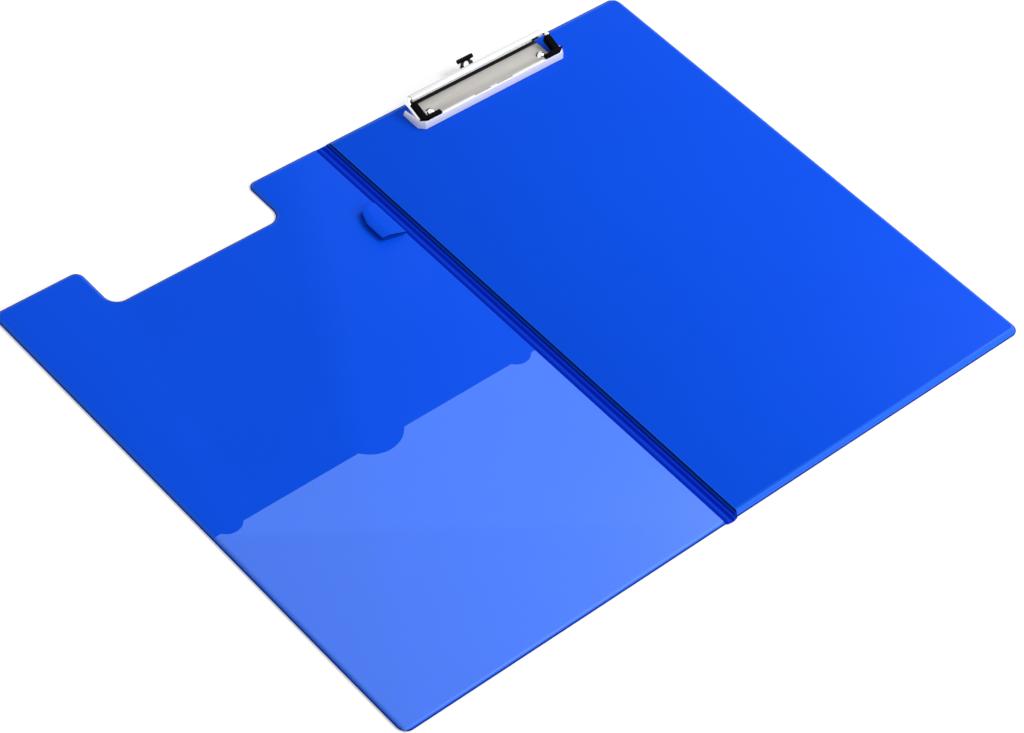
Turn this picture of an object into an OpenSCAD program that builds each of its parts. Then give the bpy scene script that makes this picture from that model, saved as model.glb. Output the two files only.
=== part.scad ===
// Foldover clipboard in welded PVC, lying open and flat.
// The cover is on the left, the board with its wire clip on the right, and a narrow spine joins them.
// X runs from the cover to the board, Y towards the clip, Z up from the table. Millimetres.
// The origin is on the table, under the middle of the whole open folder.

/* [Panels] */
// Height of both panels
panel_h = 345; // [300:1:380]
// Width of the cover, from its free edge to its crease
cover_w = 229.6; // [205:0.1:260]
// Width of the spine, from crease to crease
spine_w = 8.6; // [8.5:0.1:12]
// Width of the board, from its crease to its free edge
board_w = 235.8; // [210:0.1:262]
// Thickness of the cover over its card
cover_t = 2.2; // [1.8:0.1:2.6]
// Thickness of the board over its stiffener
board_t = 3.2; // [2.6:0.1:4]
// Thickness of one PVC skin
skin_t = 0.35; // [0.2:0.05:0.4]
// Width of the welded rim round each panel
rim_w = 0.8; // [0.6:0.1:3]
// Radius of the free corners
corner_r = 6; // [4:0.5:12]

/* [Cover cut-out] */
// Space between the clip and each side of the cut-out
cut_gap = 0.6; // [0.5:0.1:4]
// Depth of the cut-out from the top edge
cut_d = 32; // [29:0.5:45]
// Radius of its inner corners
cut_r = 8.5; // [3:0.5:12]
// Radius of its mouth corners
mouth_r = 5; // [2:0.5:8]

/* [Pocket and pen loop] */
// Height of the pocket's mouth above the bottom edge
pocket_h = 152; // [90:1:190]
// Thickness of the clear pocket sheet
pocket_t = 0.3; // [0.2:0.05:0.5]
// Radius of the thumb notch
thumb_r = 20.5; // [14:0.5:26]
// Depth of the thumb notch
thumb_d = 8; // [4:0.5:12]
// Width of the dip at each end of the mouth
dip_w = 15; // [8:0.5:22]
// Depth of the dip at each end of the mouth
dip_d = 3.6; // [2:0.2:6]
// Height of the pen loop's lower end above the bottom edge
loop_y = 262; // [200:1:280]
// Length of the pen loop along the spine
loop_l = 28.5; // [18:0.5:36]
// Reach of the pen loop over the cover
loop_w = 16.5; // [12:0.5:22]
// Height of the pen loop above the cover
loop_h = 3.6; // [2.4:0.1:3.6]
// Thickness of the pen loop's PVC
loop_t = 0.5; // [0.3:0.1:0.8]

/* [Clip] */
// Distance from the board's crease to the middle of the clip
clip_off = 111.4; // [95:0.1:130]
// Width of the clip over its corner caps
clip_w = 119; // [110:1:130]
// Distance from the board's top edge to the clip's front lip
clip_d = 25.5; // [25:0.5:28]
// Distance from the board's top edge to the hinge axis
hinge_d = 6; // [5:0.1:6.4]
// Height of the hinge axis above the board
hinge_h = 8; // [7.5:0.1:10]
// Thickness of the clip's sheet steel
steel_t = 0.8; // [0.6:0.1:1]
// Diameter of the spring wire
wire_d = 3.2; // [2.6:0.1:3.4]
// Running clearance round the wire, on the radius
wire_gap = 0.05; // [0.02:0.01:0.1]
// Height of the jaw above the board
jaw_h = 5; // [4:0.1:6]
// Depth of the jaw's top flange
jaw_flange = 2.6; // [2.2:0.1:3]
// Length of the corner chamfers of the jaw
jaw_chamfer = 3.6; // [2:0.2:3.8]
// Distance between the two rivets
rivet_pitch = 90; // [70:1:92]
// Diameter of the rivet heads
rivet_head = 6.2; // [5:0.2:6.8]

/* [Hanger] */
// Width of the hanger
hanger_w = 10.6; // [8:0.2:16]
// Diameter of its hanging eye
eye_d = 4; // [3:0.1:4]
// How far the hanger pulls out
hanger_pull = 11; // [6:0.5:11]
// Length of the bent-up lip
lip_l = 6.9; // [6.8:0.1:9]
// Angle of the lip above the board
lip_angle = 60; // [30:1:70]

/* [Hidden] */
$fn = 64;
hull_fn = 28;
eps = 0.01;
seat = 0.3;
web_t = 2 * skin_t;
axis_z = skin_t;
crease_gap = skin_t + 0.1;
// Next to the spine the rims and slopes are this much narrower
crease_share = 0.25;
crease_a = cover_w;
crease_b = cover_w + spine_w;
total_w = cover_w + spine_w + board_w;
cover_run = (cover_t - web_t) * 0.8;
board_run = (board_t - web_t) * 0.8;
cover_x1 = crease_a - crease_gap;
cover_flat_x = cover_x1 - (rim_w + cover_run) * crease_share - skin_t;
board_x0 = crease_b + crease_gap;

// Clip places, measured from the folder's lower left corner
clip_x = crease_b + clip_off;
half_w = clip_w / 2;
axis_y = panel_h - hinge_d;
axis_h = board_t + hinge_h;
front_y = panel_h - clip_d;
barrel_r = wire_d / 2 + wire_gap + steel_t;
riser_y = axis_y + barrel_r - steel_t;
wall_x = half_w;
arm_x = wall_x - steel_t - wire_d / 2 - 0.9;
bend_r = 3;
stub_l = 10;
sleeve_out = wall_x - steel_t - 0.2;
sleeve_in = arm_x - wire_d / 2 - 0.8;
pad_l = 17;
pad_d = 4.4;
pad_t = 1.6;
barrel_x = arm_x - bend_r - 0.3;
plate_x = barrel_x - 2.4;
flange_y = front_y + jaw_flange;
jaw_low = board_t + seat;
jaw_top = board_t + jaw_h;
plate_lift = steel_t + 0.2;
plate_top = board_t + plate_lift + steel_t;
washer_d = 10;
washer_t = 0.9;
shank_d = 3.6;
shank_gap = 0.1;
stub_y = front_y + steel_t + seat / 2 + wire_d / 2;
stub_z = jaw_top - steel_t - seat / 2 - wire_d / 2;
plate_front = stub_y + wire_d / 2 + seat;
rivet_y = plate_front + 4.6;
arm_drop = axis_h - stub_z;
arm_run = axis_y - stub_y;
arm_tilt = atan2(arm_drop, arm_run);
arm_len = sqrt(arm_drop * arm_drop + arm_run * arm_run);

// Hanger places
ear_w = 2.5;
ear_l = 2;
slide_gap = 0.1;
tongue_y = riser_y - 2 * slide_gap - ear_l - hanger_pull;
tongue_z = board_t + slide_gap;
bend_y = panel_h + 1;
grip_r = 1.4;
grip_at = lip_l - 0.4;
eye_at = grip_at - grip_r - 0.2 - eye_d / 2;
reach_y = bend_y + grip_at * cos(lip_angle) - steel_t / 2 * sin(lip_angle) + grip_r;

// Cut-out in the cover, the clip's mirror image about the spine
cut_x = crease_a - clip_off;
cut_half = half_w + cut_gap;

// Moves the folder so that the middle of its outline lies on the origin
module placed() {
    translate([-total_w / 2, -reach_y / 2, 0]) children();
}

// Puts its children in the clip's own frame, with X = 0 at the middle of the clip
module at_clip() {
    placed() translate([clip_x, 0, 0]) children();
}

// Rectangle with two free corners rounded on one side and square corners towards the spine,
// where its edge steps in by a share of the inset and by what is asked for on top of that
module panel_2d(x0, x1, inset, free_left, crease_more = 0) {
    r = max(corner_r - inset, 0.2);
    crease_in = inset * crease_share + crease_more;
    left = x0 + (free_left ? inset : crease_in);
    right = x1 - (free_left ? crease_in : inset);
    low = inset;
    high = panel_h - inset;
    round_x = free_left ? left + r : right - r;
    union() {
        translate([free_left ? left + r : left, low]) square([right - left - r, high - low]);
        translate([left, low + r]) square([right - left, high - low - 2 * r]);
        for (y = [low + r, high - r]) translate([round_x, y]) circle(r);
    }
}

// Part of the plane that the cover's cut-out removes, grown by an inset of the panel
module cut_2d(inset) {
    half = cut_half + inset;
    low = panel_h - cut_d - inset;
    r = cut_r + inset;
    m = max(mouth_r - inset, 0.1);
    high = panel_h - inset;
    translate([cut_x, 0]) {
        translate([-half, low + r]) square([2 * half, cut_d + 2 * inset]);
        translate([-half + r, low]) square([2 * half - 2 * r, r + 1]);
        for (s = [-1, 1]) translate([s * (half - r), low + r]) circle(r);
        for (s = [-1, 1]) {
            difference() {
                translate([s > 0 ? half - eps : -half - m, high - m]) square([m + eps, m + inset + 1]);
                translate([s * (half + m), high - m]) circle(m);
            }
        }
    }
}

// Raised body of a panel: a plate whose sides slope in by run from z0 to z1
module sloped_body(x0, x1, inset, run, z0, z1, free_left) {
    hull() {
        translate([0, 0, z0]) linear_extrude(eps) panel_2d(x0, x1, inset, free_left, $fn = hull_fn);
        translate([0, 0, z1 - eps]) linear_extrude(eps)
            panel_2d(x0, x1, inset + run, free_left, $fn = hull_fn);
    }
}

// Matching slopes on the three sides of the cut-out
module sloped_cut(inset, run, z0, z1) {
    hull() {
        translate([0, 0, z0 - eps]) linear_extrude(eps) cut_block_2d(inset);
        translate([0, 0, z1]) linear_extrude(2 * eps) cut_block_2d(inset + run);
    }
}

module cut_block_2d(inset) {
    half = cut_half + inset;
    low = panel_h - cut_d - inset;
    r = cut_r + inset;
    translate([cut_x, 0]) {
        translate([-half, low + r]) square([2 * half, cut_d]);
        for (s = [-1, 1]) translate([s * (half - r), low + r]) circle(r, $fn = hull_fn);
    }
}

// Outer skin of the cover
module cover_outer_skin() {
    color([0.05, 0.28, 0.84]) placed() linear_extrude(skin_t) difference() {
        panel_2d(0, cover_x1, 0, true);
        cut_2d(0);
    }
}

// Card between the skins of the cover
module cover_card() {
    inset = rim_w + cover_run;
    color("tan") placed() translate([0, 0, skin_t]) linear_extrude(cover_t - web_t) difference() {
        panel_2d(0, cover_x1, inset, true, skin_t);
        cut_2d(inset);
    }
}

// Inner skin of the cover: flat on the welded rim, sloping up and over the card
module cover_inner_skin() {
    inset = rim_w + cover_run;
    color([0.06, 0.3, 0.86]) placed() union() {
        translate([0, 0, skin_t]) linear_extrude(skin_t) difference() {
            panel_2d(0, cover_x1, 0, true);
            panel_2d(0, cover_x1, rim_w + skin_t, true);
            cut_2d(0);
        }
        translate([0, 0, skin_t]) linear_extrude(skin_t) difference() {
            cut_2d(rim_w + skin_t);
            cut_2d(0);
            translate([0, panel_h - rim_w]) square([total_w, panel_h]);
        }
        difference() {
            sloped_body(0, cover_x1, rim_w, cover_run, web_t - eps, cover_t, true);
            sloped_cut(rim_w, cover_run, web_t, cover_t);
            translate([0, 0, -eps]) linear_extrude(web_t) difference() {
                panel_2d(0, cover_x1, inset, true, skin_t);
                cut_2d(inset);
            }
            translate([0, 0, skin_t]) linear_extrude(cover_t - web_t) difference() {
                panel_2d(0, cover_x1, inset, true, skin_t);
                cut_2d(inset);
            }
        }
    }
}

// Clear sheet over the lower half of the cover, with a thumb notch and a dip at each end of its mouth
module pocket_sheet() {
    x0 = rim_w + cover_run;
    x1 = cover_flat_x;
    mid = (x0 + x1) / 2;
    dip_r = (dip_w * dip_w / 4 + dip_d * dip_d) / (2 * dip_d);
    dip_in = 3 + dip_w / 2;
    color([0.3, 0.5, 0.96]) placed() translate([0, 0, cover_t]) linear_extrude(pocket_t) difference() {
        translate([x0, rim_w + cover_run]) square([x1 - x0, pocket_h - rim_w - cover_run]);
        translate([mid, pocket_h + thumb_r - thumb_d]) circle(thumb_r);
        for (x = [x0 + dip_in, x1 - dip_in]) translate([x, pocket_h - dip_d + dip_r]) circle(dip_r);
    }
}

// Flattened sleeve that holds a pen along the spine
module pen_loop() {
    x1 = cover_flat_x;
    x0 = crease_a - loop_w - 0.7;
    r = loop_h / 2;
    color([0.06, 0.3, 0.88]) placed() difference() {
        translate([0, loop_y + loop_l, cover_t]) rotate([90, 0, 0]) linear_extrude(loop_l) difference() {
            union() {
                translate([x0 + r, r]) circle(r);
                translate([x0 + r, 0]) square([x1 - x0 - r, loop_h]);
            }
            translate([x0 + r, r]) circle(r - loop_t);
            translate([x0 + r, loop_t]) square([x1 - x0 - 2 * r, loop_h - 2 * loop_t]);
            translate([x1 - r, r]) circle(r - loop_t);
            difference() {
                translate([x1 - r, -1]) square([r + 1, loop_h + 2]);
                translate([x1 - r, r]) circle(r);
            }
        }
        translate([x0, loop_y, 0]) rotate([0, 0, -13]) translate([-5, -20, -1]) cube([40, 20 + 2.6, 20]);
        translate([x0 - 1, loop_y + loop_l - 10, 0]) rotate([0, 0, 22]) translate([-20, -1, -1])
            cube([20, 30, 20]);
    }
}

// Outer skin of the spine, with the rolled beads on which both panels fold
module spine_outer_skin() {
    color([0.04, 0.24, 0.75]) placed() union() {
        translate([crease_a, 0, 0]) cube([spine_w, panel_h, skin_t]);
        for (x = [crease_a, crease_b]) translate([x, panel_h, axis_z]) rotate([90, 0, 0])
            difference() {
                cylinder(r = skin_t, h = panel_h);
                translate([x == crease_a ? 0 : -2 * skin_t, 0, -1]) cube([2 * skin_t, skin_t * 2, panel_h + 2]);
            }
    }
}

// Inner skin of the spine: welded down beside both creases, standing up in one low ridge between them
module spine_inner_skin() {
    ridge_b = spine_w - 1.2;
    ridge_top = ridge_b - 1.5;
    ridge_a = ridge_top - 2.2;
    ridge_h = 0.6;
    color([0.04, 0.24, 0.78]) placed() translate([crease_a, panel_h, skin_t]) rotate([90, 0, 0])
        linear_extrude(panel_h) polygon([
            [0, 0], [spine_w, 0], [spine_w, skin_t],
            [ridge_b, skin_t], [ridge_top, skin_t + ridge_h], [ridge_a, skin_t], [0, skin_t]
        ]);
}

// Puts its children at both rivets, in the clip's frame
module rivet_places() {
    for (s = [-1, 1]) translate([s * rivet_pitch / 2, rivet_y, 0]) children();
}

// Hole for a rivet's shank, and the recess that takes its washer flush with the board's back
module shank_hole() {
    translate([0, 0, -1]) cylinder(d = shank_d + shank_gap, h = axis_h);
}

module washer_recess() {
    translate([0, 0, -1]) cylinder(d = washer_d + 2 * shank_gap, h = 1 + washer_t);
}

// Outer skin of the board
module board_outer_skin() {
    color([0.05, 0.28, 0.84]) difference() {
        placed() linear_extrude(skin_t) panel_2d(board_x0, total_w, 0, false);
        at_clip() rivet_places() washer_recess();
    }
}

// Stiff fibreboard between the skins of the board
module board_stiffener() {
    color("peru") difference() {
        placed() translate([0, 0, skin_t]) linear_extrude(board_t - web_t)
            panel_2d(board_x0, total_w, rim_w + board_run, false, skin_t);
        at_clip() rivet_places() {
            washer_recess();
            shank_hole();
        }
    }
}

// Inner skin of the board, with the same welded rim and slopes as the cover
module board_inner_skin() {
    inset = rim_w + board_run;
    color([0.06, 0.3, 0.86]) difference() {
        placed() union() {
            translate([0, 0, skin_t]) linear_extrude(skin_t) difference() {
                panel_2d(board_x0, total_w, 0, false);
                panel_2d(board_x0, total_w, rim_w + skin_t, false);
            }
            difference() {
                sloped_body(board_x0, total_w, rim_w, board_run, web_t - eps, board_t, false);
                translate([0, 0, skin_t]) linear_extrude(board_t - web_t)
                    panel_2d(board_x0, total_w, inset, false, skin_t);
                translate([0, 0, -eps]) linear_extrude(web_t)
                    panel_2d(board_x0, total_w, inset, false, skin_t);
            }
        }
        at_clip() rivet_places() shank_hole();
    }
}

// Base plate: a pressed tray standing on its turned-down edges, with a riser at the back that
// rolls forward into the barrel for the spring wire
module clip_base_plate() {
    depth = riser_y + steel_t - plate_front;
    window_x = barrel_x * 0.88;
    window_w = 6;
    window_h = 2.2;
    slot_w = hanger_w + 0.6;
    color([0.74, 0.73, 0.7]) at_clip() difference() {
        union() {
            difference() {
                translate([-plate_x, plate_front, board_t]) cube([2 * plate_x, depth, plate_lift + steel_t]);
                translate([-plate_x + steel_t, plate_front + steel_t, board_t - 1])
                    cube([2 * (plate_x - steel_t), depth - 2 * steel_t, plate_lift + 1]);
            }
            translate([-plate_x, riser_y, board_t]) cube([2 * plate_x, steel_t, hinge_h]);
            translate([-barrel_x, axis_y, axis_h]) rotate([0, 90, 0]) cylinder(r = barrel_r, h = 2 * barrel_x);
            rivet_places() translate([0, 0, board_t]) cylinder(d = rivet_head + 1, h = plate_lift + eps);
        }
        translate([-barrel_x - 1, axis_y, axis_h]) rotate([0, 90, 0])
            cylinder(d = wire_d + 2 * wire_gap, h = 2 * barrel_x + 2);
        // Seam of the roll, where its edge stops short of the riser
        translate([-barrel_x - 1, axis_y + barrel_r * 0.2, axis_h - barrel_r - 1])
            cube([2 * barrel_x + 2, barrel_r * 0.8 - steel_t + eps, 1 + steel_t * 1.2]);
        // Window that the wire's anchor tab is pressed through
        translate([window_x - window_w / 2, axis_y - barrel_r - 1, axis_h - window_h / 2])
            cube([window_w, barrel_r, window_h]);
        // Slot under the riser for the hanger
        translate([-slot_w / 2, riser_y - 1, board_t - 1]) cube([slot_w, steel_t + 2, 1 + plate_lift]);
        rivet_places() shank_hole();
    }
}

// Two domed rivets
module clip_rivets() {
    dome_h = 2;
    shank_z = washer_t - 0.2;
    ball_r = (rivet_head * rivet_head / 4 + dome_h * dome_h) / (2 * dome_h);
    color([0.86, 0.86, 0.86]) at_clip() rivet_places() {
        translate([0, 0, shank_z]) cylinder(d = shank_d, h = plate_top - shank_z + 0.1);
        intersection() {
            translate([0, 0, plate_top + dome_h - ball_r]) sphere(ball_r);
            translate([0, 0, plate_top]) cylinder(d = rivet_head + 1, h = dome_h + 1);
        }
    }
}

// Washers that the rivets are set against under the board
module rivet_washers() {
    color([0.8, 0.8, 0.8]) at_clip() rivet_places() difference() {
        cylinder(d = washer_d, h = washer_t);
        translate([0, 0, washer_t - 0.2]) cylinder(d = shank_d, h = 1);
        translate([0, 0, -1]) cylinder(d = 2.4, h = 1 + washer_t / 3);
    }
}

// Plan of the jaw: front lip, two chamfered corners and two side walls, open at the back
module jaw_plan(inset) {
    x = wall_x - inset;
    y = front_y + inset;
    c = jaw_chamfer - inset * (2 - sqrt(2));
    back = axis_y - wire_d / 2 - 1;
    polygon([[-x + c, y], [x - c, y], [x, y + c], [x, back], [-x, back], [-x, y + c]]);
}

// Jaw of pressed steel: its front lip presses the paper, its flange carries the wire and the caps,
// and its side walls run back and down towards the hinge
module jaw_frame() {
    tab_w = 5.5;
    slot_w = 12.5;
    slot_d = jaw_flange - 0.9;
    slope_y = front_y + jaw_chamfer + 0.6;
    back = axis_y;
    rear_h = 2.9;
    color([0.9, 0.9, 0.9]) at_clip() difference() {
        union() {
            intersection() {
                translate([0, 0, jaw_low]) linear_extrude(jaw_h) difference() {
                    jaw_plan(0);
                    jaw_plan(steel_t);
                    translate([-wall_x + steel_t, axis_y - 6]) square([2 * (wall_x - steel_t), 10]);
                }
                translate([-wall_x, 0, 0]) rotate([90, 0, 90]) linear_extrude(2 * wall_x) polygon([
                    [front_y - 1, 0], [back, 0], [back, jaw_low + rear_h], [slope_y, jaw_top], [front_y - 1, jaw_top]
                ]);
            }
            translate([0, 0, jaw_top - steel_t]) linear_extrude(steel_t) intersection() {
                jaw_plan(0);
                translate([-wall_x, front_y - 1]) square([2 * wall_x, jaw_flange + 1]);
            }
        }
        // Two finger slots on either side of a small middle tab
        for (s = [-1, 1]) translate([s * (tab_w + slot_w) / 2 - slot_w / 2, flange_y - slot_d, jaw_top - 2])
            cube([slot_w, 3, 4]);
    }
}

// Frame of the wire bow: X = 0 in the middle, Y = 0 on the hinge axis, the jaw towards -Y
module in_bow() {
    at_clip() translate([0, axis_y, axis_h]) rotate([arm_tilt, 0, 0]) children();
}

// Quarter bend of the wire, from the -X side to the -Y side of its corner
module wire_bend() {
    rotate_extrude(angle = 90) translate([bend_r, 0]) circle(d = wire_d);
}

// Spring wire: straight through the barrel, bent forward into two arms and in again under the jaw's flange
module spring_bow() {
    straight = arm_x - bend_r;
    color([0.88, 0.88, 0.88]) in_bow() {
        translate([-straight, 0, 0]) rotate([0, 90, 0]) cylinder(d = wire_d, h = 2 * straight);
        for (s = [0, 1]) mirror([s, 0, 0]) {
            translate([straight, -bend_r, 0]) wire_bend();
            translate([arm_x, -bend_r, 0]) rotate([90, 0, 0]) cylinder(d = wire_d, h = arm_len - 2 * bend_r);
            translate([straight, -arm_len + bend_r, 0]) rotate([0, 0, -90]) wire_bend();
            translate([straight - stub_l, -arm_len, 0]) rotate([0, 90, 0]) cylinder(d = wire_d, h = stub_l);
        }
    }
}

// Outline of a corner cap seen from above: a leg along the arm and a pad along the front flange
module cap_plan() {
    y = front_y;
    rear = axis_y - wire_d / 2 - 3;
    r = 1.2;
    polygon([
        [half_w - pad_l, y], [half_w - jaw_chamfer, y], [half_w, y + jaw_chamfer], [half_w, y + pad_d],
        [sleeve_out, y + pad_d + half_w - sleeve_out], [sleeve_out, rear], [sleeve_in, rear],
        [sleeve_in, y + pad_d + r], [sleeve_in - r, y + pad_d], [half_w - pad_l, y + pad_d]
    ]);
}

// Black corner cap: a sleeve on the wire's arm that turns into a pad on the jaw's flange
module corner_cap() {
    sleeve_low = 1;
    sleeve_top = wire_d / 2 + 1.2;
    bar_l = arm_len + 8;
    difference() {
        intersection() {
            at_clip() linear_extrude(axis_h + 10) cap_plan();
            union() {
                in_bow() translate([sleeve_in, -bar_l, -sleeve_low])
                    cap_bar(sleeve_out - sleeve_in, bar_l, sleeve_low + sleeve_top);
                at_clip() translate([0, front_y - 1, jaw_top]) cube([half_w, pad_d + 1, pad_t]);
            }
        }
        at_clip() cap_clearances();
    }
}

// Bar along Y with two rounded upper edges
module cap_bar(w, l, h) {
    r = 1.2;
    translate([0, l, 0]) rotate([90, 0, 0]) linear_extrude(l) union() {
        square([w, h - r]);
        translate([r, 0]) square([w - 2 * r, h]);
        for (x = [r, w - r]) translate([x, h - r]) circle(r);
    }
}

// What the caps leave free: the wire, the jaw's walls and lip, and the board
module cap_clearances() {
    translate([0, axis_y, axis_h]) rotate([arm_tilt, 0, 0]) {
        translate([arm_x, 5, 0]) rotate([90, 0, 0]) cylinder(d = wire_d, h = arm_len - bend_r + 5);
        translate([arm_x - bend_r, -arm_len + bend_r, 0]) rotate([0, 0, -90]) wire_bend();
        translate([-10, -arm_len, 0]) rotate([0, 90, 0]) cylinder(d = wire_d, h = arm_x - bend_r + 10);
    }
    linear_extrude(jaw_top) difference() {
        translate([0, front_y - 5]) square([half_w + 1, 60]);
        jaw_plan(steel_t + 0.1);
    }
    translate([0, front_y - 5, 0]) cube([half_w + 1, jaw_flange + 5, jaw_top]);
    translate([sleeve_out, front_y - 5, 0]) cube([steel_t + 5, 60, jaw_top]);
    translate([0, front_y - 5, 0]) cube([half_w + 1, 60, jaw_low]);
}

module corner_cap_right() {
    color([0.05, 0.05, 0.05]) corner_cap();
}

module corner_cap_left() {
    color([0.05, 0.05, 0.05]) translate([2 * (clip_x - total_w / 2), 0, 0]) mirror([1, 0, 0]) corner_cap();
}

// Puts its children on the bent-up lip of the hanger: Y = 0 at the bend, Z = 0 on its underside
module on_lip() {
    at_clip() translate([0, bend_y, tongue_z]) rotate([lip_angle, 0, 0]) children();
}

// Hanger: a flat tongue that slides out from under the base plate, with a bent-up lip and its eye
module hanger() {
    t = steel_t;
    a = lip_angle;
    tip = [bend_y + lip_l * cos(a), tongue_z + lip_l * sin(a)];
    color([0.84, 0.84, 0.82]) union() {
        at_clip() translate([-hanger_w / 2 - ear_w, tongue_y, tongue_z]) cube([hanger_w + 2 * ear_w, ear_l, t]);
        difference() {
            at_clip() translate([-hanger_w / 2, 0, 0]) rotate([90, 0, 90]) linear_extrude(hanger_w) polygon([
                [tongue_y, tongue_z], [bend_y, tongue_z], tip, [tip.x - t * sin(a), tip.y + t * cos(a)],
                [bend_y - t * tan(a / 2), tongue_z + t], [tongue_y, tongue_z + t]
            ]);
            on_lip() translate([0, eye_at, -1]) cylinder(d = eye_d, h = t + 2);
        }
    }
}

// Black bead pushed over the edge of the lip
module hanger_grip() {
    color([0.06, 0.06, 0.06]) on_lip() difference() {
        translate([-hanger_w / 2 - 0.4, grip_at, steel_t / 2]) rotate([0, 90, 0])
            cylinder(r = grip_r, h = hanger_w + 0.8);
        translate([-hanger_w / 2, lip_l - 6, 0]) cube([hanger_w, 6, steel_t]);
    }
}

cover_outer_skin();
cover_inner_skin();
cover_card();
pocket_sheet();
pen_loop();
spine_outer_skin();
spine_inner_skin();
board_outer_skin();
board_inner_skin();
board_stiffener();
clip_base_plate();
clip_rivets();
rivet_washers();
jaw_frame();
spring_bow();
corner_cap_left();
corner_cap_right();
hanger();
hanger_grip();
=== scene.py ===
import math

import bpy
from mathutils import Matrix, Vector


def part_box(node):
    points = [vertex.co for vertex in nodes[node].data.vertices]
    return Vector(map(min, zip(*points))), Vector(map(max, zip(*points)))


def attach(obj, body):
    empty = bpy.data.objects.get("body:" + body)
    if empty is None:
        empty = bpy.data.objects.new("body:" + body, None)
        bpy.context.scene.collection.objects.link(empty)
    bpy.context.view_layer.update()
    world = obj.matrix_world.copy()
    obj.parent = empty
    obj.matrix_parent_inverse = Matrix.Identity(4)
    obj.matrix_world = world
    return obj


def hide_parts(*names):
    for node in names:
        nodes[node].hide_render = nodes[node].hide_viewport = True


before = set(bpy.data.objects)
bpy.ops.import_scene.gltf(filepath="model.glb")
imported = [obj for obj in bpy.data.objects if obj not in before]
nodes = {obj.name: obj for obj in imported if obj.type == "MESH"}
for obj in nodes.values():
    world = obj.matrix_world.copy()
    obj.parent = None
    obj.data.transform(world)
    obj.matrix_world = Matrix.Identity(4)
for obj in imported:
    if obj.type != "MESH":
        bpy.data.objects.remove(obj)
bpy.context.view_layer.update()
bpy.ops.object.select_all(action="DESELECT")

# ---------------------------------------------------------------- outer skins
# The back of the folder is one sheet of blue PVC, thermoformed with a fine leather grain and
# welded to the inner skins all round. Its upright faces, such as its cut edges, are painted dark as painted shade, a
# thin dark line under the rims.
pvc_blue = (0.0020, 0.082, 0.80)
pvc_deep = (0.0016, 0.073, 0.74)


def link(tree, a, b):
    tree.links.new(a, b)


def new_group(name, inputs, outputs):
    group = bpy.data.node_groups.new(name, "ShaderNodeTree")
    for label, kind, value in inputs:
        socket = group.interface.new_socket(label, in_out="INPUT", socket_type=kind)
        socket.default_value = value
    for label, kind in outputs:
        group.interface.new_socket(label, in_out="OUTPUT", socket_type=kind)
    return group, group.nodes.new("NodeGroupInput"), group.nodes.new("NodeGroupOutput")


def add_math(tree, kind, a, b):
    node = tree.nodes.new("ShaderNodeMath")
    node.operation = kind
    for socket, value in ((node.inputs[0], a), (node.inputs[1], b)):
        if isinstance(value, (int, float)):
            socket.default_value = value
        else:
            link(tree, value, socket)
    return node.outputs[0]


def make_sheet_grain():
    """Pebbled grain of embossed vinyl, with the slow unevenness of a sheet laid over card."""
    group, inp, out = new_group(
        "sheet_grain",
        [
            ("Place", "NodeSocketVector", (0, 0, 0)),
            ("Grain Size", "NodeSocketFloat", 0.0006),
            ("Waviness", "NodeSocketFloat", 1.0),
        ],
        [("Height", "NodeSocketFloat"), ("Tone", "NodeSocketFloat"), ("Rub", "NodeSocketFloat")],
    )
    scale = add_math(group, "DIVIDE", 1.0, inp.outputs["Grain Size"])
    pebble = group.nodes.new("ShaderNodeTexVoronoi")
    pebble.feature = "SMOOTH_F1"
    link(group, inp.outputs["Place"], pebble.inputs["Vector"])
    link(group, scale, pebble.inputs["Scale"])
    fine = group.nodes.new("ShaderNodeTexNoise")
    fine.inputs["Detail"].default_value = 4
    link(group, inp.outputs["Place"], fine.inputs["Vector"])
    link(group, add_math(group, "MULTIPLY", scale, 0.45), fine.inputs["Scale"])
    slow = group.nodes.new("ShaderNodeTexNoise")
    slow.inputs["Scale"].default_value = 16
    slow.inputs["Detail"].default_value = 2
    link(group, inp.outputs["Place"], slow.inputs["Vector"])
    pebbles = add_math(group, "MULTIPLY", pebble.outputs["Distance"], 0.6)
    grain = add_math(group, "ADD", pebbles, add_math(group, "MULTIPLY", fine.outputs["Fac"], 0.4))
    waves = add_math(group, "MULTIPLY", add_math(group, "MULTIPLY", slow.outputs["Fac"], 18.0), inp.outputs["Waviness"])
    link(group, add_math(group, "ADD", grain, waves), out.inputs["Height"])
    patch = group.nodes.new("ShaderNodeTexNoise")
    patch.inputs["Scale"].default_value = 7
    patch.inputs["Detail"].default_value = 3
    link(group, inp.outputs["Place"], patch.inputs["Vector"])
    link(group, patch.outputs["Fac"], out.inputs["Tone"])
    rub = group.nodes.new("ShaderNodeTexNoise")
    rub.inputs["Scale"].default_value = 60
    rub.inputs["Detail"].default_value = 5
    link(group, inp.outputs["Place"], rub.inputs["Vector"])
    link(group, rub.outputs["Fac"], out.inputs["Rub"])
    return group


sheet_grain = make_sheet_grain()


def new_material(name):
    material = bpy.data.materials.new(name)
    material.use_nodes = True
    tree = material.node_tree
    shader = tree.nodes["Principled BSDF"]
    place = tree.nodes.new("ShaderNodeTexCoord").outputs["Object"]
    return material, tree, shader, place


def two_tones(tree, factor, first, second):
    """Mixes two colours by a mask. Each is a plain colour or the colour that comes out of a node."""
    mix = tree.nodes.new("ShaderNodeMix")
    mix.data_type = "RGBA"
    for label, tone in (("A", first), ("B", second)):
        if isinstance(tone, tuple):
            mix.inputs[label].default_value = (*tone, 1)
        else:
            link(tree, tone, mix.inputs[label])
    link(tree, factor, mix.inputs["Factor"])
    return mix.outputs["Result"]


def add_bump(tree, shader, height, strength, distance):
    bump = tree.nodes.new("ShaderNodeBump")
    bump.inputs["Strength"].default_value = strength
    bump.inputs["Distance"].default_value = distance
    link(tree, height, bump.inputs["Height"])
    link(tree, bump.outputs["Normal"], shader.inputs["Normal"])


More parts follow.
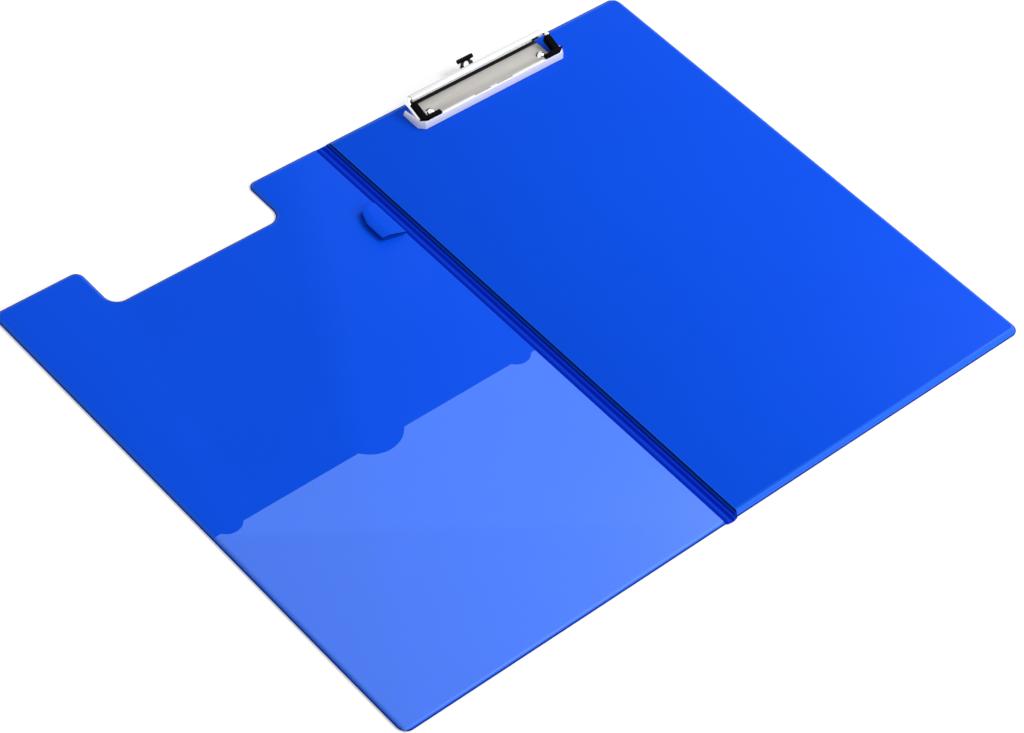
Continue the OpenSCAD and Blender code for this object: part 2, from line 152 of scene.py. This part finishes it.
def value_range(tree, value, low, high):
    spread = tree.nodes.new("ShaderNodeMapRange")
    spread.inputs["To Min"].default_value = low
    spread.inputs["To Max"].default_value = high
    link(tree, value, spread.inputs["Value"])
    return spread.outputs["Result"]


# Painted shade: the tone that upright faces of the PVC, such as cut edges, are darkened to
upright_shade_tone = (0.0012, 0.020, 0.17)
edge_tilt = 0.3


def make_upright_shade():
    """1 on faces that stand upright on the piece, such as a sheet's cut edge, and 0 elsewhere. Where it is 1, the PVC
    is painted dark as painted shade.
    """
    group, inp, out = new_group(
        "upright_shade", [("Facing", "NodeSocketVector", (0, 0, 1))], [("Mask", "NodeSocketFloat")]
    )
    facing = group.nodes.new("ShaderNodeSeparateXYZ")
    link(group, inp.outputs["Facing"], facing.inputs["Vector"])
    tilt = add_math(group, "ABSOLUTE", facing.outputs["Z"], 0.0)
    link(group, add_math(group, "LESS_THAN", tilt, edge_tilt), out.inputs["Mask"])
    return group


upright_shade = make_upright_shade()


def add_group(tree, group):
    node = tree.nodes.new("ShaderNodeGroup")
    node.node_tree = group
    return node


def make_pvc(name, first, second, gloss, waviness, specular):
    material, tree, shader, place = new_material(name)
    grain = add_group(tree, sheet_grain)
    grain.inputs["Waviness"].default_value = waviness
    link(tree, place, grain.inputs["Place"])
    edge = add_group(tree, upright_shade)
    link(tree, tree.nodes.new("ShaderNodeTexCoord").outputs["Normal"], edge.inputs["Facing"])
    face_tone = two_tones(tree, value_range(tree, grain.outputs["Tone"], 0.0, 1.0), first, second)
    # Upright faces get painted shade
    tone = two_tones(tree, edge.outputs["Mask"], face_tone, upright_shade_tone)
    link(tree, tone, shader.inputs["Base Color"])
    rubbed = value_range(tree, grain.outputs["Rub"], gloss - 0.06, gloss + 0.08)
    link(tree, rubbed, shader.inputs["Roughness"])
    shader.inputs["Specular IOR Level"].default_value = specular
    add_bump(tree, shader, grain.outputs["Height"], 0.25, 0.00004)
    return material


outer_pvc = make_pvc("outer_pvc", pvc_blue, pvc_deep, 0.42, 1.0, 0.08)


def dress(name, material):
    node = nodes[name]
    node.data.materials.clear()
    node.data.materials.append(material)


for name in ("cover_outer_skin", "board_outer_skin", "spine_outer_skin"):
    dress(name, outer_pvc)

# ---------------------------------------------------------------- card and fibreboard
# The cover is stiffened by a sheet of grey card and the board by a sheet of hard fibreboard.
# Both lie loose between the skins and show only at a rivet hole.
card_light = (0.52, 0.46, 0.38)
card_dark = (0.40, 0.34, 0.27)
board_light = (0.26, 0.17, 0.10)
board_dark = (0.17, 0.10, 0.055)


def make_card(name, first, second):
    material, tree, shader, place = new_material(name)
    fibres = tree.nodes.new("ShaderNodeTexNoise")
    fibres.inputs["Scale"].default_value = 900
    fibres.inputs["Detail"].default_value = 6
    link(tree, place, fibres.inputs["Vector"])
    link(tree, two_tones(tree, fibres.outputs["Fac"], first, second), shader.inputs["Base Color"])
    shader.inputs["Roughness"].default_value = 0.9
    add_bump(tree, shader, fibres.outputs["Fac"], 0.4, 0.00005)
    return material


dress("cover_card", make_card("cover_card_finish", card_light, card_dark))
dress("board_stiffener", make_card("fibreboard_finish", board_light, board_dark))

# ---------------------------------------------------------------- inner skin of the cover
# A second sheet of blue PVC, welded flat along a narrow rim and standing up over the card with
# soft shoulders. The cut-out for the clip has a welded rim of its own.
skin = 0.00035
crease_share = 0.25
cover_low, cover_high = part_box("cover_inner_skin")
corner_r = 0.006
cut_centre = -0.1188
cut_half = 0.0601
cut_depth = 0.032
cut_r = 0.0085
mouth_r = 0.005
same_place = 1e-5
inner_pvc = make_pvc("inner_pvc", pvc_blue, pvc_deep, 0.36, 1.0, 0.04)
# Painted sheen: the sloped rims are a lighter blue, with more specular, than the flat skin
rim_sheen_pvc = make_pvc("rim_sheen_pvc", (0.010, 0.13, 0.86), (0.008, 0.12, 0.82), 0.36, 0.2, 0.10)
# Painted shade: the low welded flange is painted navy, a dark line along the panel's foot
weld_shade_pvc = make_pvc("weld_shade_pvc", (0.0010, 0.018, 0.30), (0.0008, 0.015, 0.26), 0.45, 0.2, 0.03)


def edit(obj, mode):
    bpy.ops.object.select_all(action="DESELECT")
    obj.select_set(True)
    bpy.context.view_layer.objects.active = obj
    bpy.ops.object.mode_set(mode="EDIT")
    bpy.ops.mesh.select_mode(type=mode)
    bpy.ops.mesh.select_all(action="DESELECT")
    bpy.ops.object.mode_set(mode="OBJECT")


def pick(obj, kind, test):
    """Selects the vertices, edges or faces of obj that pass test, then returns to edit mode."""
    edit(obj, {"vertices": "VERT", "edges": "EDGE", "polygons": "FACE"}[kind])
    co = [v.co for v in obj.data.vertices]
    for part in getattr(obj.data, kind):
        if kind == "vertices":
            part.select = test(part.co)
        elif kind == "edges":
            part.select = test(co[part.vertices[0]], co[part.vertices[1]])
        else:
            part.select = test(part.center, part.normal)
    bpy.ops.object.mode_set(mode="EDIT")


def leave_edit():
    bpy.ops.object.mode_set(mode="OBJECT")


def settle(obj):
    """Puts the object's place into its mesh."""
    bpy.ops.object.select_all(action="DESELECT")
    obj.select_set(True)
    bpy.context.view_layer.objects.active = obj
    bpy.ops.object.transform_apply(location=True, rotation=True, scale=True)


def add_block(name, low, high):
    bpy.ops.object.select_all(action="DESELECT")
    low, high = Vector(low), Vector(high)
    bpy.ops.mesh.primitive_cube_add(size=1, location=(low + high) / 2)
    obj = bpy.context.object
    obj.name = name
    obj.scale = high - low
    settle(obj)
    return obj


def add_rod(name, radius, start, end, sides):
    bpy.ops.object.select_all(action="DESELECT")
    start, end = Vector(start), Vector(end)
    along = end - start
    bpy.ops.mesh.primitive_cylinder_add(
        vertices=sides,
        radius=radius,
        depth=along.length,
        location=(start + end) / 2,
        rotation=along.to_track_quat("Z", "Y").to_euler(),
    )
    obj = bpy.context.object
    obj.name = name
    settle(obj)
    return obj


def finish_with(obj, kind, **values):
    bpy.ops.object.select_all(action="DESELECT")
    obj.select_set(True)
    bpy.context.view_layer.objects.active = obj
    modifier = obj.modifiers.new(kind.lower(), kind)
    for key, value in values.items():
        setattr(modifier, key, value)
    bpy.ops.object.modifier_apply(modifier=modifier.name)


def cut_away(obj, cutter):
    finish_with(obj, "BOOLEAN", object=cutter, operation="DIFFERENCE", solver="EXACT")
    bpy.data.objects.remove(cutter)


def soft_panel(name, low, high, free_side, steps, cut=False):
    """A skin over a stiffener: a plain block is rounded and cut out, and its top is inset in steps.

    Each step is how far in and how far up it goes. The steps are narrower beside the spine.
    """
    low, high = Vector(low), Vector(high)
    x_free, x_crease = (low.x, high.x) if free_side == "low" else (high.x, low.x)
    weld_top = low.z + 2 * skin
    past = 0.01
    obj = add_block(name, low, (high.x, high.y, weld_top))

    def upright(a, b):
        return abs(a.z - b.z) > same_place

    def outer_corner(a, b):
        return upright(a, b) and abs(a.x - x_free) < same_place and abs(b.x - x_free) < same_place

    def mouth_corner(a, b):
        on_side = abs(abs(a.x - cut_centre) - cut_half) < 10 * same_place
        return upright(a, b) and abs(a.y - high.y) < same_place and on_side

    pick(obj, "edges", outer_corner)
    bpy.ops.mesh.bevel(offset=corner_r, segments=10, affect="EDGES")
    leave_edit()
    if cut:
        cutter = add_block(
            name + "_cutter",
            (cut_centre - cut_half, high.y - cut_depth, low.z - past),
            (cut_centre + cut_half, high.y + past, low.z + past),
        )
        pick(cutter, "edges", lambda a, b: upright(a, b) and a.y < high.y and b.y < high.y)
        bpy.ops.mesh.bevel(offset=cut_r, segments=12, affect="EDGES")
        leave_edit()
        cut_away(obj, cutter)
        pick(obj, "edges", mouth_corner)
        bpy.ops.mesh.bevel(offset=mouth_r, segments=8, affect="EDGES")
        leave_edit()
    pick(obj, "polygons", lambda c, n: n.z < 0.5)
    bpy.ops.mesh.delete(type="FACE")
    leave_edit()
    pick(obj, "polygons", lambda c, n: n.z > 0.5)
    for width, rise in steps:
        bpy.ops.mesh.inset(thickness=width, depth=rise, use_boundary=True, use_even_offset=True)
    leave_edit()
    inward = sum(width for width, rise in steps) + 0.0001
    pick(obj, "vertices", lambda co: abs(co.x - x_crease) < inward)
    bpy.ops.transform.resize(value=(crease_share, 1, 1), center_override=(x_crease, 0, 0))
    leave_edit()
    finish_with(obj, "SOLIDIFY", thickness=skin, offset=-1)
    bpy.ops.object.shade_smooth_by_angle(angle=math.radians(50))
    for material in (inner_pvc, rim_sheen_pvc, weld_shade_pvc):
        obj.data.materials.append(material)
    # Faces on the weld get painted shade, faces on the slopes a painted sheen, the top the plain skin
    for face in obj.data.polygons:
        welded = face.center.z < weld_top + 0.00002
        sloped = face.center.z < high.z - 0.00005
        face.material_index = 2 if welded else 1 if sloped else 0
    return obj


cover_steps = [
    (0.0005, 0.0), (0.0003, 0.00010), (0.0003, 0.00035), (0.0003, 0.00045),
    (0.0003, 0.00032), (0.0003, 0.00018), (0.0008, 0.0001),
]
cover_face = soft_panel("cover_face", (cover_low.x, cover_low.y, 0), cover_high, "low", cover_steps, cut=True)
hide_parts("cover_inner_skin")
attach(cover_face, "cover")

# ---------------------------------------------------------------- inner skin of the board
# The same sheet over the thicker fibreboard, with higher shoulders. It carries the clip, whose
# rivets go through it.
board_low, board_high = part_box("board_inner_skin")
board_steps = [
    (0.0005, 0.0), (0.0003, 0.00012), (0.0005, 0.00068), (0.0005, 0.00072),
    (0.0005, 0.00056), (0.0005, 0.0003), (0.0008, 0.00012),
]
board_face = soft_panel("board_face", (board_low.x, board_low.y, 0), board_high, "high", board_steps)
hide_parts("board_inner_skin")
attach(board_face, "board")

# ---------------------------------------------------------------- inner skin of the spine
# The strip between the two fold lines. It is welded down beside both panels in narrow grooves,
# which are painted dark as painted shade, and the loose sheet between the welds stands up in a soft ridge.
spine_low, spine_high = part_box("spine_inner_skin")
# Painted shade: the spine's PVC is a darker copy of the panels' blue
spine_shaded_pvc = make_pvc("spine_shaded_pvc", (0.0010, 0.046, 0.62), (0.0008, 0.040, 0.56), 0.45, 0.3, 0.02)
groove_shade_tone = (0.0005, 0.011, 0.40)
# Distance from the cover's crease, height over the skin, and how dark painted shade makes it
spine_profile = [
    (0.0000, 0.00035, 0.9), (0.0007, 0.00035, 1.0), (0.0013, 0.00036, 0.8),
    (0.0017, 0.00055, 0.25), (0.0022, 0.00066, 0.0), (0.0030, 0.00066, 0.0),
    (0.0036, 0.00056, 0.2), (0.0040, 0.00038, 0.9), (0.0046, 0.00036, 1.0),
    (0.0052, 0.00050, 1.0), (0.0058, 0.00085, 0.7), (0.0062, 0.00095, 0.4),
    (0.0068, 0.00088, 0.35), (0.0073, 0.00060, 0.6), (0.0076, 0.00038, 0.95),
    (0.0082, 0.00035, 1.0), (0.0086, 0.00035, 1.0),
]
spine_middle = 0.0043
# The strip's ends run out in a low tongue at the foot and a lower one at the head
foot_drop = 0.0013
foot_reach = 0.006
head_drop = 0.0009
head_reach = 0.004
end_flattening = 0.35


def paint(obj, name, tone):
    """Keeps a value between 0 and 1 on each vertex, read from its place."""
    layer = obj.data.attributes.new(name, "FLOAT", "POINT")
    for vertex, item in zip(obj.data.vertices, layer.data):
        item.value = tone(vertex.co)


def along_profile(x, column):
    """Reads the spine's profile at a distance from the cover's crease."""
    for first, second in zip(spine_profile, spine_profile[1:]):
        if x <= second[0]:
            part = max(0.0, (x - first[0]) / (second[0] - first[0]))
            return first[column] + part * (second[column] - first[column])
    return spine_profile[-1][column]


bpy.ops.object.select_all(action="DESELECT")
bpy.ops.mesh.primitive_grid_add(x_subdivisions=34, y_subdivisions=90, size=1)
spine_strip = bpy.context.object
spine_strip.name = "spine_strip"
spine_strip.scale = (spine_high.x - spine_low.x, spine_high.y - spine_low.y, 1)
spine_strip.location = ((spine_low.x + spine_high.x) / 2, (spine_low.y + spine_high.y) / 2, 0)
settle(spine_strip)
for vertex in spine_strip.data.vertices:
    across = vertex.co.x - spine_low.x
    bulge = max(0.0, 1 - ((across - spine_middle) / spine_middle) ** 2) ** 0.5
    near_foot = max(0.0, 1 - (vertex.co.y - spine_low.y) / foot_reach)
    near_head = max(0.0, 1 - (spine_high.y - vertex.co.y) / head_reach)
    vertex.co.y -= foot_drop * bulge * near_foot + head_drop * bulge * near_head
    flattened = 1 - end_flattening * max(near_foot, near_head) ** 3
    vertex.co.z = spine_low.z + along_profile(across, 1) * flattened
paint(spine_strip, "groove", lambda co: along_profile(co.x - spine_low.x, 2))
finish_with(spine_strip, "SOLIDIFY", thickness=skin - 0.00002, offset=-1)
bpy.ops.object.shade_smooth_by_angle(angle=math.radians(60))
tree = spine_shaded_pvc.node_tree
groove_shade_mask = tree.nodes.new("ShaderNodeAttribute")
groove_shade_mask.attribute_name = "groove"
base_color = tree.nodes["Principled BSDF"].inputs["Base Color"]
plain_tone = base_color.links[0].from_socket
# The grooves get painted shade
link(tree, two_tones(tree, groove_shade_mask.outputs["Fac"], plain_tone, groove_shade_tone), base_color)
spine_strip.data.materials.append(spine_shaded_pvc)
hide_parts("spine_inner_skin")
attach(spine_strip, "spine")

# ---------------------------------------------------------------- pocket
# A thin sheet of frosted clear PVC laid over the lower half of the cover and welded to it along
# three sides. Its mouth has a thumb notch in the middle and a shallow dip at each end.
pocket_low, pocket_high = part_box("pocket_sheet")
pocket_lift = 0.00004
pocket_top = 0.00016
pocket_wall = 0.0001
notch_past = 0.002
thumb_r = 0.0205
thumb_deep = 0.008
dip_r = 0.0096125
dip_deep = 0.0036
dip_in = 0.0105
pocket_clear = make_pvc("pocket_clear", (0.150, 0.36, 1.0), (0.135, 0.34, 0.98), 0.28, 0.6, 0.2)
pocket_clear.node_tree.nodes["Principled BSDF"].inputs["Alpha"].default_value = 0.36
pocket = add_block(
    "pocket",
    (pocket_low.x, pocket_low.y, pocket_low.z + pocket_lift),
    (pocket_high.x, pocket_high.y, pocket_low.z + pocket_top),
)
for place_x, radius, deep in (
    ((pocket_low.x + pocket_high.x) / 2, thumb_r, thumb_deep),
    (pocket_low.x + dip_in, dip_r, dip_deep),
    (pocket_high.x - dip_in, dip_r, dip_deep),
):
    middle_y = pocket_high.y + radius - deep
    under = (place_x, middle_y, pocket_low.z - notch_past)
    over = (place_x, middle_y, pocket_low.z + notch_past)
    cut_away(pocket, add_rod("notch", radius, under, over, sides=96))
pick(pocket, "polygons", lambda c, n: n.z < 0.5)
bpy.ops.mesh.delete(type="FACE")
leave_edit()
# The three welded sides run on over the card's edge and down to the weld. Each is stepped out and
# down by these millimetres, and goes out less beside the spine, where there is little room.
weld_steps = ((0.45, 0.12), (0.35, 0.35), (0.3, 0.5))
for axis, edge_at, outward in ((0, pocket_low.x, -1), (0, pocket_high.x, 0.2), (1, pocket_low.y, -1)):
    for out, down in weld_steps:
        pick(
            pocket,
            "edges",
            lambda a, b: abs(a[axis] - edge_at) < same_place and abs(b[axis] - edge_at) < same_place,
        )
        step = [0, 0, -0.001 * down]
        step[axis] = outward * 0.001 * out
        bpy.ops.mesh.extrude_region_move(TRANSFORM_OT_translate={"value": tuple(step)})
        leave_edit()
        edge_at += step[axis]
finish_with(pocket, "SOLIDIFY", thickness=pocket_wall, offset=-1)
bpy.ops.object.shade_smooth_by_angle(angle=math.radians(50))
pocket.data.materials.append(pocket_clear)
pocket.visible_shadow = False
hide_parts("pocket_sheet")
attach(pocket, "cover")

# ---------------------------------------------------------------- pen loop
# A strip of the same blue PVC folded over into a flat sleeve, with both ends caught in the weld
# beside the spine. It stands up thickest at the fold, and its open ends are cut on a slant.
loop_low, loop_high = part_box("pen_loop")
loop_wall = 0.0005
loop_gap = 0.0002
# The fold slants in over its upper end, and both open ends are cut back towards the fold
fold_slant = 0.0036
slant_from = 0.6
foot_cut = 0.0032
head_cut = 0.0024
thick_share = 0.35
thin_loss = 0.45
loop_pvc = make_pvc("loop_pvc", pvc_blue, pvc_deep, 0.40, 0.8, 0.04)
bpy.ops.object.select_all(action="DESELECT")
bpy.ops.mesh.primitive_cylinder_add(
    vertices=56, radius=1, depth=1, end_fill_type="NOTHING", rotation=(math.radians(90), 0, 0)
)
pen_sleeve = bpy.context.object
pen_sleeve.name = "pen_sleeve"
settle(pen_sleeve)
pick(pen_sleeve, "edges", lambda a, b: abs(a.y - b.y) > 0.5)
bpy.ops.mesh.subdivide(number_cuts=14)
leave_edit()
height = loop_high.z - loop_low.z - loop_gap
for vertex in pen_sleeve.data.vertices:
    along = vertex.co.y + 0.5
    across = (vertex.co.x + 1) / 2
    fold_x = loop_low.x + loop_gap + fold_slant * max(0.0, along - slant_from) / (1 - slant_from)
    rise = math.copysign(abs(vertex.co.z) ** 0.5, vertex.co.z)
    swell = 1 - max(0.0, across - thick_share) / (1 - thick_share) * thin_loss
    low_y = loop_low.y + foot_cut * (1 - across)
    high_y = loop_high.y - head_cut * (1 - across)
    vertex.co.x = fold_x + across * (loop_high.x - fold_x)
    vertex.co.y = low_y + along * (high_y - low_y)
    vertex.co.z = loop_low.z + loop_gap / 2 + height * swell * (0.5 + 0.5 * rise)
finish_with(pen_sleeve, "SOLIDIFY", thickness=loop_wall, offset=-1)
pick(pen_sleeve, "vertices", lambda co: True)
bpy.ops.mesh.select_all(action="SELECT")
bpy.ops.mesh.normals_make_consistent(inside=False)
leave_edit()
bpy.ops.object.shade_smooth_by_angle(angle=math.radians(50))
pen_sleeve.data.materials.append(loop_pvc)
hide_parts("pen_loop")
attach(pen_sleeve, "cover")

# ---------------------------------------------------------------- base plate of the clip
# Sheet steel pressed into a shallow tray, with a riser at the back whose top is rolled forward
# into the barrel that holds the spring wire. It is plated, with a satin finish.


even = (1, 1, 1)
shade_tone = (0.006, 0.006, 0.006)


def make_plated(name, first, second, roughness, grain_along, metallic=1.0, depth=0.00001, shade=None):
    """Plated steel with fine grain. shade is (axis, comparison, place): where it holds, the metal is dark."""
    material, tree, shader, place = new_material(name)
    stretch = tree.nodes.new("ShaderNodeMapping")
    stretch.inputs["Scale"].default_value = grain_along
    link(tree, place, stretch.inputs["Vector"])
    streaks = tree.nodes.new("ShaderNodeTexNoise")
    streaks.inputs["Scale"].default_value = 900
    streaks.inputs["Detail"].default_value = 4
    link(tree, stretch.outputs["Vector"], streaks.inputs["Vector"])
    stain = tree.nodes.new("ShaderNodeTexNoise")
    stain.inputs["Scale"].default_value = 90
    stain.inputs["Detail"].default_value = 5
    link(tree, place, stain.inputs["Vector"])
    tone = two_tones(tree, stain.outputs["Fac"], first, second)
    if shade:
        axis, comparison, limit = shade
        where = tree.nodes.new("ShaderNodeSeparateXYZ")
        link(tree, place, where.inputs["Vector"])
        tone = two_tones(tree, add_math(tree, comparison, where.outputs[axis], limit), tone, shade_tone)
    link(tree, tone, shader.inputs["Base Color"])
    brushed = value_range(tree, streaks.outputs["Fac"], roughness * 0.7, roughness * 1.3)
    link(tree, brushed, shader.inputs["Roughness"])
    shader.inputs["Metallic"].default_value = metallic
    add_bump(tree, shader, streaks.outputs["Fac"], 0.3, depth)
    return material


plate_low, plate_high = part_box("clip_base_plate")
riser_from = plate_low.z + 0.0021
# A dark strip on the plate and on the lower part of the roll stands for the shade under the roll
plate_shade = ("Y", "GREATER_THAN", plate_high.y - 0.0034)
roll_shade = ("Z", "LESS_THAN", plate_high.z - 0.0030)
satin_plate = make_plated(
    "satin_plate", (0.56, 0.54, 0.51), (0.52, 0.50, 0.47), 0.6, (0.04, 1, 1), metallic=0.0, shade=plate_shade
)
roll_steel = make_plated(
    "roll_steel", (0.86, 0.86, 0.85), (0.80, 0.80, 0.79), 0.25, (0.1, 1, 1), metallic=0.3, shade=roll_shade
)
bright_chrome = make_plated("bright_chrome", (0.93, 0.93, 0.92), (0.88, 0.88, 0.87), 0.09, even, depth=0.000002)


def softened(node_name, name, width, material, body, segments=2, angle=35, shape=None):
    """A rounded copy of a pressed or moulded solid: its sharp edges get a small radius.

    shape moves its points before that, where the real piece leans or is broader.
    """
    bpy.ops.object.select_all(action="DESELECT")
    obj = nodes[node_name].copy()
    obj.data = nodes[node_name].data.copy()
    obj.name = name
    obj.parent = None
    bpy.context.scene.collection.objects.link(obj)
    for key in list(obj.keys()):
        del obj[key]
    pick(obj, "vertices", lambda co: True)
    bpy.ops.mesh.select_all(action="SELECT")
    bpy.ops.mesh.remove_doubles(threshold=0.000005)
    bpy.ops.mesh.dissolve_limited(angle_limit=math.radians(1))
    leave_edit()
    if shape:
        for vertex in obj.data.vertices:
            vertex.co = shape(vertex.co.copy())
    finish_with(
        obj,
        "BEVEL",
        width=width,
        segments=segments,
        limit_method="ANGLE",
        angle_limit=math.radians(angle),
        use_clamp_overlap=True,
        harden_normals=False,
    )
    bpy.ops.object.shade_smooth_by_angle(angle=math.radians(40))
    obj.data.materials.clear()
    obj.data.materials.append(material)
    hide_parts(node_name)
    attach(obj, body)
    return obj


base_plate = softened("clip_base_plate", "base_plate", 0.0002, satin_plate, "board")
base_plate.data.materials.append(roll_steel)
for face in base_plate.data.polygons:
    face.material_index = 1 if face.center.z > riser_from else 0

# ---------------------------------------------------------------- rivets and washers
# Two domed steel rivets hold the plate. They are set against washers pressed flush into the back.
dress("clip_rivets", bright_chrome)
dress("rivet_washers", make_plated("washer_steel", (0.62, 0.61, 0.6), (0.5, 0.5, 0.49), 0.3, even))

# ---------------------------------------------------------------- jaw
# Bright plated sheet steel, pressed into a lip, a narrow flange and two low side walls.
jaw_low, jaw_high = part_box("jaw_frame")
jaw_middle = (jaw_low.x + jaw_high.x) / 2
jaw_half = (jaw_high.x - jaw_low.x) / 2
lean = 0.0016
wall_foot = 0.0008
wall_reach = 0.0046
jaw_steel = make_plated(
    "jaw_steel", (0.90, 0.90, 0.89), (0.84, 0.84, 0.83), 0.32, even, metallic=0.3, depth=0.0000005
)


def leaned(co):
    """Leans the jaw's lip and side walls inwards, as they are pressed, more the higher they stand."""
    height = (co.z - jaw_low.z - wall_foot) / (jaw_high.z - jaw_low.z - wall_foot)
    inward = lean * min(1.0, max(0.0, height))
    from_front = co.y - jaw_low.y
    from_side = jaw_half - abs(co.x - jaw_middle)
    co.y += inward * max(0.0, 1 - from_front / wall_reach)
    co.x -= math.copysign(inward * max(0.0, 1 - from_side / wall_reach), co.x - jaw_middle)
    return co


softened("jaw_frame", "jaw", 0.00025, jaw_steel, "jaw", segments=3, shape=leaned)

# ---------------------------------------------------------------- spring wire
# One length of spring steel wire: through the barrel, forward along both sides, and in again
# under the jaw's flange.
dress("spring_bow", bright_chrome)

# ---------------------------------------------------------------- corner caps
# Black plastic covers pushed on the wire's corners.


def make_black(name, base, roughness):
    material, tree, shader, place = new_material(name)
    grain = tree.nodes.new("ShaderNodeTexNoise")
    grain.inputs["Scale"].default_value = 700
    grain.inputs["Detail"].default_value = 4
    link(tree, place, grain.inputs["Vector"])
    worn = tuple(1.6 * c for c in base)
    link(tree, two_tones(tree, grain.outputs["Fac"], base, worn), shader.inputs["Base Color"])
    dulled = value_range(tree, grain.outputs["Fac"], roughness - 0.06, roughness + 0.1)
    link(tree, dulled, shader.inputs["Roughness"])
    shader.inputs["Specular IOR Level"].default_value = 0.03
    add_bump(tree, shader, grain.outputs["Fac"], 0.25, 0.00003)
    return material



# How far in from the clip's side the arm and the whole cap reach, and how the arm is broadened
cap_arm = 0.0042
cap_arm_broad = 0.0066
cap_end = 0.0148


def broad(co):
    """The cap's side arm is broader than the wire inside it, and the cap's far end stays in place."""
    from_side = jaw_half - abs(co.x - jaw_middle)
    if from_side < cap_end:
        moved = cap_arm_broad + (from_side - cap_arm) * 0.775 if from_side > cap_arm else from_side * 1.57
        moved = max(from_side, min(moved, cap_end))
        co.x = jaw_middle + math.copysign(jaw_half - moved, co.x - jaw_middle)
    return leaned(co)


cap_black = make_black("cap_black", (0.0008, 0.0008, 0.0009), 0.30)
for side in ("left", "right"):
    softened("corner_cap_" + side, "cap_" + side, 0.0004, cap_black, "jaw", segments=3, angle=30, shape=broad)

# ---------------------------------------------------------------- hanger
# A bright steel tongue that slides under the plate. Its lip is bent up and holed for a nail, and
# a black bead covers the edge.
softened("hanger", "hanger_tongue", 0.00015, bright_chrome, "hanger")
dress("hanger_grip", cap_black)

# ---------------------------------------------------------------- stage
# A plain pale table top, a soft box at the right, a weaker one before the folder's foot for its
# bottom edges, and dim light all round. What the camera sees of table and air is white.


def seen_as_background(tree):
    """1 for rays that show a thing, straight, in metal or through glass, and 0 for its light."""
    path = tree.nodes.new("ShaderNodeLightPath")
    shown = add_math(tree, "MAXIMUM", path.outputs["Is Camera Ray"], path.outputs["Is Glossy Ray"])
    return add_math(tree, "MAXIMUM", shown, path.outputs["Is Transmission Ray"])


bpy.ops.object.select_all(action="DESELECT")
bpy.ops.mesh.primitive_plane_add(size=12, location=(0, 0, -0.0002))
floor = bpy.context.object
floor.name = "table_top"
floor_paint, tree, shader, place = new_material("table_paint")
shader.inputs["Base Color"].default_value = (0.9, 0.9, 0.9, 1)
shader.inputs["Roughness"].default_value = 0.9
shader.inputs["Specular IOR Level"].default_value = 0.1
shader.inputs["Emission Color"].default_value = (1, 1, 1, 1)
link(tree, add_math(tree, "MULTIPLY", seen_as_background(tree), 0.22), shader.inputs["Emission Strength"])
floor.data.materials.append(floor_paint)

world = bpy.data.worlds.new("studio")
bpy.context.scene.world = world
world.use_nodes = True
air = world.node_tree
background = air.nodes["Background"]
background.inputs["Color"].default_value = (1, 1, 1, 1)
room_light = 0.55
white_part = add_math(air, "MULTIPLY", seen_as_background(air), 1 - room_light)
link(air, add_math(air, "ADD", white_part, room_light), background.inputs["Strength"])


def add_soft_box(name, place, aim, size, power):
    light = bpy.data.lights.new(name, "AREA")
    light.shape = "RECTANGLE"
    light.size, light.size_y = size
    light.energy = power
    obj = bpy.data.objects.new(name, light)
    obj.location = place
    obj.rotation_euler = (Vector(aim) - Vector(place)).to_track_quat("-Z", "Y").to_euler()
    bpy.context.scene.collection.objects.link(obj)


add_soft_box("key_box", (1.3, -0.22, 1.35), (0, 0, 0), (0.8, 0.8), 18)
add_soft_box("rim_box", (0.75, -1.35, 0.8), (0.1, -0.1, 0), (0.8, 0.5), 10)

camera_data = bpy.data.cameras.new("camera")
camera_data.lens = 107.435
camera_data.sensor_width = 36
camera_data.clip_end = 100
camera = bpy.data.objects.new("camera", camera_data)
camera.location = (-0.92080, -0.74959, 1.24153)
camera.rotation_euler = tuple(math.radians(a) for a in (42.2659, -7.9559, -42.2805))
bpy.context.scene.collection.objects.link(camera)
bpy.context.scene.camera = camera
bpy.context.scene.view_settings.view_transform = "Standard"
